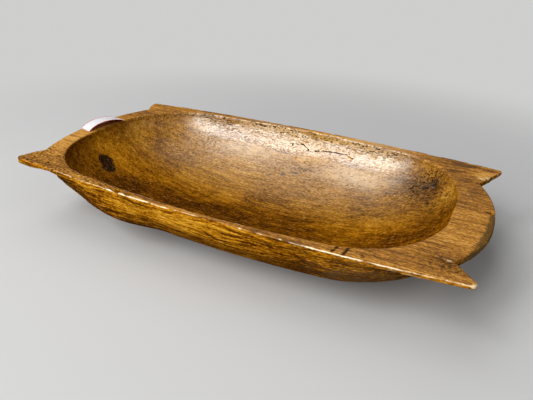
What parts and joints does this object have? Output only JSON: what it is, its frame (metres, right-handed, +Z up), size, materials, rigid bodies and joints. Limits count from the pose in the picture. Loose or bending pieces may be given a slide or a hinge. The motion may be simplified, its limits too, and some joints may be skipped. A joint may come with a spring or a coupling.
{
  "type": "dough bowl",
  "caption": "Long hand-carved wooden trough with a rounded belly, a flat rim, rounded end shelves and pointed ears at the corners, with a blank paper tag.",
  "frame": {"origin": "on the plane of the foot, under the middle of the trough's length and width", "axes": "+X along the trough towards its wider end shelf, +Y across it, +Z up out of the hollow"},
  "size_m": [0.722, 0.398, 0.1224],
  "materials": {
    "carved_wood": "waxed, worn",
    "tag_paper": "satin"
  },
  "bodies": {
    "root": {"bowl": "carved_wood", "price_tag": "tag_paper"}
  },
  "joints": []
}
